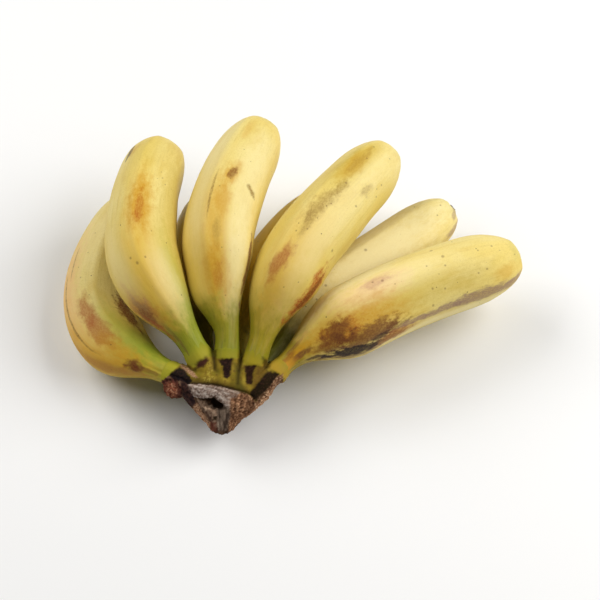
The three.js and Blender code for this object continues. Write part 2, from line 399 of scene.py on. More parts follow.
PALE_YELLOW = tint(231, 213, 136)
FULL_YELLOW = tint(227, 203, 110)
PATCH_YELLOW = tint(214, 184, 88)
# The golden colour of the painted shade down the sides of the peel
SHADED_SIDE_YELLOW = tint(200, 172, 64)
STREAK_TAN = tint(186, 160, 66)
MOTTLE_TAN = tint(190, 158, 70)
NECK_GOLD = tint(214, 186, 80)
VEIN_GREEN = tint(96, 96, 20)
TIP_GREEN = tint(182, 172, 84)
DOT_BROWN = tint(104, 70, 34)
FRECKLE_BROWN = tint(96, 66, 34)
PINPRICK_BROWN = tint(140, 104, 48)
BLOSSOM_BROWN = tint(58, 42, 32)

# Kinds of mark on the peel, stains and patches of painted light and shade: colour, softness of the
# # edge, raggedness of the outline, graininess
STAINS_AND_LIGHT = {
    "rub": (tint(198, 142, 16), 0.65, 0.5, 0.18),
    "rust": (tint(164, 70, 14), 0.35, 0.6, 0.45),
    "bruise": (tint(104, 60, 32), 0.45, 0.7, 0.28),
    "russet": (tint(168, 98, 46), 0.5, 0.5, 0.25),
    "scorch": (tint(108, 50, 12), 0.35, 0.6, 0.25),
    "scuff": (tint(150, 120, 56), 0.6, 0.7, 0.35),
    "blush": (tint(236, 190, 150), 0.8, 0.4, 0.2),
    "mauve": (tint(176, 122, 104), 0.6, 0.5, 0.3),
    # The cream kind is paler peel and painted light, laid where light falls on a finger and over some of
    # its shaded parts
    "pale_lit_cream": (tint(246, 232, 176), 0.8, 0.3, 0.1),
    "lime": (tint(152, 164, 52), 0.8, 0.3, 0.1),
    "olive": (tint(186, 158, 44), 0.7, 0.3, 0.1),
    "gold": (tint(220, 172, 56), 0.9, 0.4, 0.1),
    # The straw kind is painted light: a brighter yellow laid on a finger that lies in shade
    "lit_straw": (tint(244, 208, 84), 0.8, 0.3, 0.1),
    "black": (tint(40, 26, 20), 0.3, 0.6, 0.15),
    "slate": (tint(86, 84, 84), 0.4, 0.5, 0.3),
    "grey": (tint(152, 120, 100), 0.35, 0.5, 0.3),
    "line": (tint(112, 84, 34), 0.5, 0.5, 0.5),
}

# The marks, stains and patches of painted light and shade: kind, mm along the finger, degrees around
# # it (0 right, 90 top, 180 left), half length and half width in mm, lean in degrees, strength
MARKS = {
    "upper_finger_1": [
        ("lime", 16, 88, 22, 6, 0, 0.6),
        ("pale_lit_cream", 84, 110, 18, 6, 0, 0.45),
        ("gold", 46, 175, 30, 9, 0, 0.7),
        ("blush", 58, 150, 26, 6, 0, 0.5),
        ("gold", 22, 165, 22, 6, 0, 0.6),
        ("rub", 27, 172, 15, 6, 0, 0.5),
        ("russet", 42, 114, 8, 3.4, 0, 0.8),
        ("russet", 31, 115, 8, 4.2, 0, 0.8),
        ("rub", 21, 122, 9, 3.5, 0, 0.5),
        ("bruise", 13, 148, 3.2, 2.4, 0, 1.0),
        ("bruise", 7, 150, 6, 1.0, 0, 0.6),
        ("russet", 23, 176, 13, 2.4, 0, 0.45),
        ("scorch", 13, 149, 2.4, 1.8, 0, 0.7),
        # A scorch mark with painted shadow of the next finger, on the side towards that finger
        ("scorch", 36, 43, 13, 3.6, 0, 0.95),
        ("line", 47, 152, 17, 0.5, 0, 0.75),
        ("line", 70, 140, 6, 0.4, 0, 0.7),
    ],
    "upper_finger_2": [
        ("lime", 22, 50, 24, 5, 0, 0.5),
        ("gold", 50, 96, 24, 6, 0, 0.4),
        # Painted shade: olive down the right side, beside the next finger
        ("olive", 70, 30, 30, 6, 0, 0.55),
        ("pale_lit_cream", 31, 76, 12, 5, 0, 0.5),
        ("olive", 101, 84, 13, 10, 0, 0.2),
        ("gold", 30, 110, 14, 6, 0, 0.35),
        ("slate", 96.5, 138.5, 4.6, 1.5, -4, 1.0),
        ("rub", 97, 128, 3.5, 2.6, 0, 0.35),
        ("rub", 64, 90, 12, 4.6, 0, 0.8),
        ("rub", 76, 93, 8, 2, 0, 0.45),
        ("rust", 64, 89, 7, 1.6, 0, 0.45),
        ("rust", 57, 95, 3, 1.6, 0, 0.35),
        ("rub", 27, 154, 10, 6, 0, 0.5),
        ("russet", 27, 154, 8, 4, -8, 0.75),
        ("bruise", 26, 154, 5.5, 2.4, -8, 0.7),
        ("gold", 43, 152, 14, 6, 0, 0.15),
        ("pale_lit_cream", 43, 146, 11, 5, 0, 0.35),
        ("rust", 17, 162, 8, 0.8, 0, 0.6),
        ("line", 10, 146, 9, 0.7, 0, 0.7),
    ],
    "upper_finger_3": [
        ("gold", 46, 110, 30, 9, 0, 0.35),
        ("pale_lit_cream", 37, 55, 15, 5, 0, 0.55),
        ("pale_lit_cream", 70, 50, 30, 7, 0, 0.5),
        ("pale_lit_cream", 74, 130, 30, 5, 0, 0.4),
        ("rub", 50, 93, 22, 4.2, 0, 0.42),
        ("rub", 59.5, 84, 6, 3, 0, 0.45),
        ("scuff", 48, 90, 5, 1.4, 0, 0.45),
        ("rub", 33, 97, 8, 5, 0, 0.6),
        ("rust", 31, 94, 5, 2, 0, 0.3),
        ("rub", 101, 90, 6, 1.6, 0, 0.35),
        ("rub", 73, 82, 6, 2.6, -12, 0.6),
        ("scorch", 73.5, 82, 3.4, 1.4, -12, 0.7),
        ("scuff", 69, 43, 2.8, 1.1, 48, 1.0),
        # Painted shade: a dark line along the left edge, beside the next finger
        ("scorch", 44, 177, 15, 2, 0, 0.6),
        ("line", 63, 105, 10, 0.5, 0, 0.6),
        ("scorch", 36, 22, 13, 1.8, 0, 0.85),
    ],
    "upper_finger_4": [
        ("gold", 40, 80, 26, 9, 0, 0.5),
        ("pale_lit_cream", 68, 60, 34, 6, 0, 0.4),
        ("pale_lit_cream", 100, 60, 14, 7, 0, 0.2),
        ("scuff", 67, 89, 9, 3.2, -6, 0.62),
        ("scuff", 57, 87, 7, 2.0, 0, 0.6),
        ("scuff", 78, 84, 6, 1.5, 0, 0.62),
        ("scuff", 85, 48, 3.4, 2.0, 0, 0.55),
        ("olive", 92.5, 96, 14, 4.5, 0, 0.7),
        ("rub", 92.5, 94, 10, 3.2, 0, 0.45),
        ("scuff", 95, 92, 8, 1.8, 0, 0.35),
        ("russet", 38.5, 95, 7.5, 2.8, -13, 0.85),
        ("rub", 29, 88, 7, 4, 0, 0.3),
        ("rust", 33, 11, 13, 4.2, 0, 0.95),
        ("scorch", 33, 9, 10, 1.8, 0, 0.7),
    ],
    "upper_finger_5": [
        # Painted shade: olive along the side below the ridge, where the finger turns under
        ("olive", 62, 52, 34, 6, 0, 0.5),
        ("pale_lit_cream", 62, 95, 22, 6, 0, 0.5),
        ("pale_lit_cream", 42, 138, 18, 7, 0, 0.95),
        ("pale_lit_cream", 78, -16, 34, 3.2, 0, 0.7),
        ("blush", 48, 90, 14, 5, 0, 0.5),
        ("rub", 38, 46, 18, 9, 0, 0.7),
        ("rub", 22, 60, 8, 5, 0, 0.5),
        ("rust", 29, 50, 9, 5, 0, 0.6),
        ("scorch", 28, 56, 6, 4, 0, 0.5),
        ("bruise", 29, 58, 4.4, 3.2, 0, 0.6),
        ("bruise", 24, 36, 7, 4, 0, 0.7),
        ("scorch", 40, 27, 12, 4.6, 0, 0.6),
        ("bruise", 40, 24, 12, 4.4, 0, 0.7),
        ("bruise", 50, 20, 8, 2.2, 0, 0.7),
        ("russet", 49, 2, 11, 3.4, 0, 0.8),
        ("scorch", 46, 0, 10, 2.6, 0, 0.5),
        ("bruise", 29, -12, 13, 3.6, 0, 0.7),
        ("black", 32, 3, 12, 3.6, 5, 1.0),
        ("black", 17, 8, 6, 1.0, 0, 0.8),
        ("black", 43, 15, 5, 1.8, 6, 0.7),
        ("grey", 60, 14, 9, 1.6, -6, 0.8),
        ("grey", 75, 10, 13, 2.2, 0, 0.85),
        ("grey", 94, 11, 14, 3.4, 0, 0.85),
        ("grey", 110, 4, 7, 3.0, 0, 0.8),
        ("mauve", 52, 96, 6, 2.4, 0, 0.5),
        ("rub", 106, 37, 5, 3, 0, 0.4),
        ("rub", 9, 68, 7, 1.8, 0, 0.8),
        ("bruise", 12, 52, 5, 1.1, 0, 0.85),
        ("scorch", 6, 80, 5, 1.0, 0, 0.6),
        ("bruise", 5, 52, 5, 1.4, 0, 0.6),
        ("scorch", 10, 98, 5, 0.8, 0, 0.5),
        ("rub", 4, 50, 4, 1.6, 0, 0.7),
    ],
    "lower_finger_1": [
        ("rub", 50, 90, 14, 4, 0, 0.3),
    ],
    "lower_finger_2": [
        ("lit_straw", 60, 120, 44, 15, 0, 0.95),
    ],
    "lower_finger_3": [
        ("pale_lit_cream", 76, 76, 38, 11, 0, 0.95),
        ("grey", 115, 5, 7, 2.2, 0, 0.75),
        ("grey", 119, 45, 3.5, 1.4, 30, 0.6),
    ],
}

# Dark dots: mm along the finger, degrees around it, radius in mm
DOTS = {
    "upper_finger_1": [(61, 114, 0.5), (73, 110, 0.4), (66, 124, 0.4), (50, 100, 0.4), (84, 112, 0.4)],
    "upper_finger_2": [(43.4, 115, 0.6), (40.9, 109.5, 0.8), (41.5, 93.7, 0.6), (81, 57, 0.45),
                       (78, 50, 0.45), (84, 62, 0.35), (80, 66, 0.3), (52, 70, 0.35)],
    "upper_finger_3": [(66, 95, 0.4), (88, 78, 0.4), (83, 60, 0.35), (41, 84, 0.4), (24, 80, 0.4)],
    "upper_finger_4": [(94.2, 33.7, 0.6), (88.8, 23.9, 0.6), (75.6, 41.9, 0.7), (107, 56.8, 0.5),
                       (54.1, 24.3, 0.9), (106.5, 94, 0.7), (51, 94, 0.5), (54, 82, 0.5),
                       (81, 82, 0.7), (98, 86, 0.5), (35, 52, 0.4), (31, 70, 0.4)],
    "upper_finger_5": [(80.1, 118, 0.9), (81.9, 94.4, 0.9), (81, 77, 0.6), (73.4, 86.6, 0.5),
                       (103.8, 90, 0.7), (97.5, 87.5, 0.5), (98, 52, 0.6), (93.6, 49.7, 0.6),
                       (77, 43.6, 0.6), (71.1, 50.5, 0.7), (69.2, 26.6, 0.8), (54, 93, 0.8),
                       (50, 99, 0.6), (107, 78, 0.4), (58, 80, 0.4)],
    "lower_finger_3": [(114.8, 88.7, 0.6), (110, 70, 0.5), (72.2, 97.7, 0.9), (46.4, 86, 0.8),
                       (39, 78, 0.6)],
}


def stain_and_light_group():
    """A node group: how much of one mark is at a place on the finger, for stains, painted light and
    shade.
    """
    tree = bpy.data.node_groups.new("stain_and_light", "ShaderNodeTree")
    for name in ("Place", "Along", "Around", "Length", "Width", "Lean", "Ragged", "Soft", "Grain"):
        kind = "NodeSocketVector" if name == "Place" else "NodeSocketFloat"
        tree.interface.new_socket(name, in_out="INPUT", socket_type=kind)
    tree.interface.new_socket("Amount", in_out="OUTPUT", socket_type="NodeSocketFloat")
    n = Nodes(tree)
    given = n.add("NodeGroupInput").outputs

    # How far the place is from the mark's middle, along the finger and around its skin
    x, y, s = n.add("ShaderNodeSeparateXYZ", {0: given["Place"]}).outputs
    cosine, sine = n.math("COSINE", given["Around"]), n.math("SINE", given["Around"])
    facing = n.math("ADD", n.math("MULTIPLY", x, cosine), n.math("MULTIPLY", y, sine))
    beside = n.math("SUBTRACT", n.math("MULTIPLY", y, cosine), n.math("MULTIPLY", x, sine))
    arc = n.math("MULTIPLY", n.math("ARCTAN2", beside, facing), n.hypot(facing, beside))
    run = n.math("SUBTRACT", s, given["Along"])

    # The same along and across the leaning mark, as a share of its size: 1 is its even edge
    lean_cosine, lean_sine = n.math("COSINE", given["Lean"]), n.math("SINE", given["Lean"])
    u = n.math("ADD", n.math("MULTIPLY", run, lean_cosine), n.math("MULTIPLY", arc, lean_sine))
    v = n.math("SUBTRACT", n.math("MULTIPLY", arc, lean_cosine), n.math("MULTIPLY", run, lean_sine))
    away = n.hypot(n.math("DIVIDE", u, given["Length"]), n.math("DIVIDE", v, given["Width"]))

    # The edge is torn and softened, and the inside is grainy
    stretched = n.vector("MULTIPLY", given["Place"], (1.0, 1.0, 0.55))
    torn = n.math("SUBTRACT", n.noise(stretched, 0.42, 5.0, 0.62), 0.5)
    away = n.math("ADD", away, n.math("MULTIPLY", n.math("MULTIPLY", torn, 4.0), given["Ragged"]))
    inner, outer = n.math("SUBTRACT", 1.0, given["Soft"]), n.math("ADD", 1.0, given["Soft"])
    amount = n.ramp(away, outer, inner)
    specks = n.ramp(n.noise(stretched, 1.7, 3.0, 0.6), 0.38, 0.62)
    specks = n.math("MULTIPLY", specks, given["Grain"])
    held = n.math("ADD", n.math("SUBTRACT", 1.0, given["Grain"]), specks)
    output = n.add("NodeGroupOutput")
    n.plug(output.inputs["Amount"], n.math("MULTIPLY", amount, held))
    return tree


def nearest_place(places, along, around):
    """The place on the straight finger's skin that far along it and around it."""
    turn = np.radians(angle_gap(np.degrees(np.arctan2(places[:, 1], places[:, 0])), around))
    reach = np.hypot(places[:, 0], places[:, 1])
    away = np.hypot(places[:, 2] - along, turn * reach)
    return Vector(places[int(away.argmin())])


def yellow_peel(n, own, x, y, reach):
    """The ripe peel with its mottle and streaks, and painted shade down its sides, most on the left."""
    broad = n.long_noise(own, 0.45, 0.06, 3.0, 0.5)
    colour = n.blend(n.ramp(broad, 0.35, 0.65), PALE_YELLOW, FULL_YELLOW)
    patches = n.long_noise(own, 0.4, 0.13, 4.0, 0.55)
    colour = n.blend(n.ramp(patches, 0.5, 0.72, 0.0, 0.55), colour, PATCH_YELLOW)
    streaks = n.long_noise(own, 0.05, 1.1)
    colour = n.blend(n.ramp(streaks, 0.5, 0.75, 0.0, 0.28), colour, STREAK_TAN)
    mottle = n.noise(own, 1.6, 4.0, 0.65)
    colour = n.blend(n.ramp(mottle, 0.42, 0.7, 0.0, 0.26), colour, MOTTLE_TAN)

    # Painted shade: the peel turns golden down the sides and underneath, most on the left, away from the
    # right-hand light
    sides = n.ramp(n.math("DIVIDE", y, reach), 0.75, -0.1)
    left = n.ramp(n.math("DIVIDE", x, reach), 0.3, -0.6, 0.28, 0.5)
    return n.blend(n.math("MULTIPLY", sides, left), colour, SHADED_SIDE_YELLOW), mottle, streaks


def green_ends(n, colour, own, run, spec):
    """Green on the stalk, gold just past it, and a little green at the tip."""
    golden = n.ramp(run, spec["green_end"] * 2.1, spec["green_end"], 0.0, 0.75)
    colour = n.blend(golden, colour, NECK_GOLD)
    green = n.ramp(run, spec["green_end"], spec["neck"] * 0.5 + 8.0)
    colour = n.blend(green, colour, tint(*spec["stalk"]))
    veins = n.ramp(n.long_noise(own, 0.08, 1.3), 0.5, 0.7, 0.0, 0.45)
    colour = n.blend(n.math("MULTIPLY", veins, green), colour, VEIN_GREEN)
    tip_green = n.ramp(run, spec["length"] - 9.0, spec["length"] + 4.0, 0.0, 0.5)
    return n.blend(tip_green, colour, TIP_GREEN)


def with_marks(n, colour, straight, stain_and_light, marks):
    """The colour with the marks and painted light and shade on it, and how much of a mark there is."""
    worn_and_painted_light = 0.0
    for kind, along, around, half_length, half_width, lean, strength in marks:
        stain_and_light_colour, soft, ragged, grain = STAINS_AND_LIGHT[kind]
        inputs = {
            "Place": straight, "Along": float(along), "Around": math.radians(around),
            "Length": float(half_length), "Width": float(half_width), "Lean": math.radians(lean),
            "Ragged": ragged, "Soft": soft, "Grain": grain,
        }
        group = n.add("ShaderNodeGroup", node_tree=stain_and_light)
        for key, value in inputs.items():
            n.plug(group.inputs[key], value)
        amount = n.math("MULTIPLY", group.outputs["Amount"], strength)
        colour = n.blend(amount, colour, stain_and_light_colour)
        worn_and_painted_light = n.math("MAXIMUM", worn_and_painted_light, amount)
    return colour, worn_and_painted_light


def with_dots(n, colour, straight, places, dots):
    """The colour with the finger's dark dots on it."""
    spots = 0.0
    for along, around, radius in dots:
        centre = nearest_place(places, along, around)
        away = n.add("ShaderNodeVectorMath", {0: straight, 1: centre}, operation="DISTANCE")
        spots = n.math("MAXIMUM", spots, n.ramp(away.outputs["Value"], radius * 1.1, radius * 0.3))
    return n.blend(n.math("MULTIPLY", spots, 0.5), colour, DOT_BROWN)


def peel_material(name, places, stain_and_light, index):
    """Yellow peel: green towards the stalk, mottled and streaked along, dotted and bruised."""
    spec = FINGERS[name]
    material, n = new_material("peel_" + name)
    straight = n.add("ShaderNodeAttribute", attribute_name="straight").outputs["Vector"]
    own = n.vector("ADD", straight, (index * 61.0, index * 17.0, 0.0))  # makes every finger different
    x, y, s = n.add("ShaderNodeSeparateXYZ", {0: straight}).outputs
    reach = n.hypot(x, y)

    colour, mottle, streaks = yellow_peel(n, own, x, y, reach)
    wobble = n.math("MULTIPLY", n.math("SUBTRACT", n.noise(own, 0.12, 3.0), 0.5), 16.0)
    colour = green_ends(n, colour, own, n.math("ADD", s, wobble), spec)
    colour, worn_and_painted_light = with_marks(n, colour, straight, stain_and_light, MARKS[name])
    colour = with_dots(n, colour, straight, places, DOTS.get(name, ()))

    freckles = n.dots(own, 0.22, 0.08, 0.45)
    pinpricks = n.dots(own, 0.55, 0.12, 0.35)
    colour = n.blend(n.math("MULTIPLY", freckles, 0.75), colour, FRECKLE_BROWN)
    colour = n.blend(n.math("MULTIPLY", pinpricks, 0.35), colour, PINPRICK_BROWN)

    # The dark dried end of the flower
    near_end = n.ramp(s, spec["length"] - 5.0, spec["length"] - 3.0)
    torn = n.math("MULTIPLY", n.math("SUBTRACT", n.noise(own, 0.6), 0.5), 4.0)
    blossom = n.math("MULTIPLY", n.ramp(n.math("ADD", reach, torn), 5.2, 3.0), near_end)
    colour = n.blend(blossom, colour, BLOSSOM_BROWN)

    worn_and_painted_light = n.math("MAXIMUM", worn_and_painted_light, blossom)
    roughness = n.math("ADD", n.ramp(worn_and_painted_light, 0.0, 1.0, 0.46, 0.66), n.math("MULTIPLY", mottle, 0.08))
    height = n.math("ADD", n.math("MULTIPLY", mottle, 0.5), n.math("MULTIPLY", streaks, 0.5))
    height = n.math("SUBTRACT", height, n.math("MULTIPLY", freckles, 0.6))
    height = n.math("SUBTRACT", height, n.math("MULTIPLY", worn_and_painted_light, 0.3))
    finish_material(n, colour, roughness, height, 0.12 * MM, Specular_IOR_Level=0.24)
    return material


def make_finger(index, name, stain_and_light):
    bm, middles = straight_copy(name)
    stalk = stalk_end(bm, middles, name)
    piece = new_piece(name + "_peel", bm)
    finer = piece.modifiers.new("finer", "SUBSURF")
    finer.levels = finer.render_levels = FINE_LEVELS
    bake_modifiers(piece)
    mesh = piece.data
    places = read_vectors(mesh.attributes["straight"].data, "vector")
    stand_proud(mesh, [finger_relief(place, name, index) for place in places])
    mesh.shade_smooth()
    mesh.materials.clear()
    mesh.materials.append(peel_material(name, places, stain_and_light, index))
    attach(piece, BODY)
    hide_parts(name)
    return stalk


# ---- Crown --------------------------------------------------------------------------------

COLLAR_LENGTH = 6 * MM  # how far the crown's green skin runs up each stalk
COLLAR_THICK = 0.3 * MM
COLLAR_THINNING = 1.6  # it has thinned out to nothing at 1 / 1.6 of its length
COLLAR_ROOT = 1.2 * MM  # how deep it is rooted in the crown
AXIS_REACH = 0.5 * MM  # points nearer than this to the stalk's middle stay where they are
CROWN_GRID = 0.4 * MM
CROWN_SMOOTHING = 3  # rounds
FRONT_SLOPE = math.radians(55)  # the front of the crown leans back from the apex this much
APEX_INSET = 24.6  # the apex lies this far in from the crown's left end, in mm
APEX_HEIGHT = 12.4
FAN_DEPTH = 16  # the fibres fan out from a point this far below the apex
FAN_WIDTH = 22
CUT_PLACE = np.array((15.8, 12.2, 3.1))  # a point of the cut face, from the apex
CUT_FACING = np.array((0.74, -0.62, -0.28))
RIM_START, RIM_END = 13.2, 24.6  # the cut's bare rim runs between these values of a
WOOD = (112, 84, 60)


def stalk_end(bm, middles, name):
    """A short closed sleeve over the root of a finger, which thins out along the stalk."""
    sleeve = bm.copy()
    straight = sleeve.verts.layers.float_vector["straight"]
    ring = sleeve.verts.layers.int["ring"]
    along = (middles[3] - middles[1]).normalized()
    far = [v for v in sleeve.verts if v[straight].z * MM > COLLAR_LENGTH]
    bmesh.ops.delete(sleeve, geom=far, context="VERTS")
    bmesh.ops.holes_fill(sleeve, edges=[e for e in sleeve.edges if e.is_boundary], sides=0)
    radius = 0.0
    for vert in sleeve.verts:
        out = vert.co - middles[vert[ring]]
        share = vert[straight].z * MM / COLLAR_LENGTH
        if out.length > AXIS_REACH:
            radius = max(radius, out.length)
            vert.co += out.normalized() * COLLAR_THICK * (1 - COLLAR_THINNING * share)
        if vert[ring] <= 1:
            vert.co -= along * COLLAR_ROOT
    mesh = bpy.data.meshes.new("sleeve")
    sleeve.to_mesh(mesh)
    sleeve.free()
    return {
        "mesh": mesh, "root": middles[1].copy(), "along": along, "radius": radius,
        "green": FINGERS[name]["stalk"], "lower": name.startswith("lower"),
    }


def crown_body(stalks):
    """The CAD crown and the sleeves over the stalks, joined in one even skin."""
    bm = bmesh.new()
    bm.from_mesh(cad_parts["crown"].data)
    bmesh.ops.remove_doubles(bm, verts=bm.verts, dist=WELD_DISTANCE)
    for stalk in stalks:
        bm.from_mesh(stalk["mesh"])
        bpy.data.meshes.remove(stalk["mesh"])
    piece = new_piece("crown_wood", bm)
    even = piece.modifiers.new("even", "REMESH")
    even.mode = "VOXEL"
    even.voxel_size = CROWN_GRID
    soft = piece.modifiers.new("soft", "SMOOTH")
    soft.factor = 0.5
    soft.iterations = CROWN_SMOOTHING
    bake_modifiers(piece)
    return piece


def step(values, low, high):
    """A smooth step from 0 at low to 1 at high, for arrays."""
    share = np.clip((values - low) / (high - low), 0, 1)
    return share * share * (3 - 2 * share)


# Lines across the front of the crown and corners of patches on it, as (a, b) in mm: a is across from
# the apex and b is up the sloping front. The scars are numbered from left to right.
FLESH_EDGE = [(-25, 24), (-16, 22), (-13.7, 20.2), (-9.1, 20.3), (-4.8, 20), (-1.6, 19.6), (0.8, 19),
              (6.7, 17.5), (10.6, 16.3), (12.9, 14.2), (14, 12.2), (18, 6)]
STALK_EDGE = [(-25, 20), (-20.9, 24.4), (-17.3, 27.6), (-15.4, 28.5), (-11.4, 26.6), (-5.6, 30.9),
              (-3.6, 31.4), (-1.8, 30.4), (6.8, 30.5), (8, 30.6), (8.9, 27.9), (16.7, 27.3),
              (19.5, 26.5), (23.7, 24), (27, 21)]
VALLEYS = [
    [(-15.4, 28.4), (-13.7, 27.4), (-12, 25.8), (-10.3, 26.6), (-10.5, 25.3), (-12.2, 24.7), (-14, 26)],
    [(-4.8, 34), (-2, 34), (-2.3, 30.2), (-2.2, 27.9), (-2, 25.4), (-3.2, 25.2), (-3.9, 28.6)],
    [(6.9, 34), (9.2, 34), (8.5, 28.3), (7.3, 24), (7, 20.2), (6.4, 20.2), (6.5, 25.9), (6.6, 30)],
    [(16.3, 31), (20, 29), (19.2, 26.6), (17.9, 25.6), (16.9, 26.4)],
]
OLIVE_SHADE = [(5.4, 28), (6.6, 28), (7.6, 24), (8.8, 20), (9.3, 17), (5.5, 17.8), (5.2, 22)]
SCAR_1 = [(-20.7, 24.6), (-17.3, 27), (-15, 25.6), (-13.2, 23.2), (-12, 21.4), (-13.7, 20.2),
          (-15.6, 20.6), (-19.3, 21.6), (-21.3, 22.8)]
STREAK = [(-17.4, 27.9), (-15.5, 27.3), (-11.3, 24.6), (-9.6, 22.5), (-11.6, 22.8), (-14.2, 24.7),
          (-16.1, 26.2)]
SCAR_2 = [(-10.7, 27.8), (-9.1, 29.3), (-6.2, 30.8), (-5.4, 29.6), (-7.1, 27.3), (-9.7, 26.4)]
SCAR_3 = [(-1.4, 29.8), (4.6, 30.3), (4.2, 28.2), (3.5, 24), (2.5, 22.3), (0.8, 22.9), (0.6, 27),
          (-0.9, 28.8)]
SCAR_4 = [(9, 27.4), (14.1, 27.6), (12.8, 24.6), (12.3, 20), (10.1, 20), (9.8, 23.6), (9.3, 26.2)]
SCAR_5 = [(18.4, 25.4), (23.4, 24.2), (20.6, 19), (15.4, 13), (12.6, 13.8), (11.4, 16.4), (14.8, 20.8)]
BROWN_FLESH = [(14, 27), (16.9, 26.9), (19.2, 24.8), (15.7, 20.2), (12.1, 16.8), (12.3, 20.9)]
LIP = [(-13.6, 19.9), (-9, 19.8), (-4.7, 19.5), (-1.6, 19.1), (2.4, 18.3), (7.1, 16.9), (6.3, 15.4),
       (3.6, 14.6), (3.1, 10.8), (0.6, 11.6), (-2.6, 14.6), (-8, 14.2), (-11.2, 15.4)]
LIP_SLIT = [(-6, 18.9), (-3.1, 18.8), (-3.1, 17.9), (-5.5, 17.8)]
HOLE = [(-5.6, 14.4), (-4.7, 14.9), (-2.7, 15.2), (-1.5, 13.7), (1.2, 11.9), (-0.2, 10.2),
        (-1.8, 10), (-3.2, 10.8), (-4.2, 12.6), (-5.6, 13.6)]
CRACK = [(-9.4, 14.9), (-6.9, 14.7), (-4.4, 15.3), (-4.2, 13.4), (-7.3, 13.4), (-9.2, 13.8)]
PIT = [(-3.5, 6.9), (-1.9, 6.8), (-1.8, 5.4), (-3.4, 5.3)]
BOWL = [(-10, 14), (-7.3, 13.2), (-4.6, 12.2), (-1.8, 10), (-1.4, 2), (-3, 3), (-6, 7.5), (-8.8, 11)]
GREY_FIBRES = [(-1.8, 10.2), (1.2, 11.8), (3.3, 11), (3.6, 7.6), (2.4, 1), (-1.5, 0.8), (-1.7, 6.4)]
BROWN_WOOD = [(3.1, 14.4), (6.6, 16.8), (10.6, 16), (12.9, 14.4), (15.6, 12), (16.5, 9), (10, 3),
              (5, -1.5), (2.2, 1.2), (3.2, 10.8)]
# Where a painted shadow darkens the right of the brown face
BROWN_FACE_SHADOW = [(9.5, 14.5), (13.6, 13.6), (14.4, 10.5), (11, 7.6), (9.2, 8.4), (10.4, 11)]
LEFT_RIM = [(-12.6, 11.8), (-10, 12.4), (-8.1, 8.8), (-5, 4.3), (-3.2, 1), (-5.6, -0.5), (-10, 5)]
RED_SPOT = [(-4.6, 4.8), (-1.9, 4.4), (-1.6, 0.8), (-3.5, 0)]
DARK_LINE = [(-7.8, 10.4), (-6.9, 10.2), (-4.3, 6.3), (-3.9, 5), (-4.9, 5.6)]
DARK_ZONE = [(-17, 20.8), (-13.7, 20.2), (-13, 19), (-11.2, 15.4), (-10.5, 12), (-12.3, 10.4),
             (-18.4, 11.4), (-16.4, 14.4), (-16, 16.8)]
STUB = [(-26, 20.5), (-23, 22.2), (-20.1, 22), (-18, 21.1), (-16.6, 19.4), (-16.2, 16.8),
        (-16.7, 14.4), (-18.2, 12.2), (-21, 12), (-24, 14), (-26, 17.9)]
RIM = [(22, 22.6), (25, 24.5), (26, 20), (14, 7), (13, 9), (13.9, 12.2), (18.7, 17.4)]
FLESH_CRUMBS = [(-5.5, 27.6), (-3.6, 27), (-2.6, 21.2), (-5, 21), (-9, 21.4), (-9.4, 22.6), (-6, 23.6)]

# Where the crown is fuller or slimmer than its even shape: a, b, how far it stands proud, and how
# far that reaches across and up, all in mm
BULGES = [(7.5, 3, -1.9, 4.5, 4.5), (4, 0, -0.9, 3, 2.5), (19.5, 13.5, 1.0, 3.5, 4)]


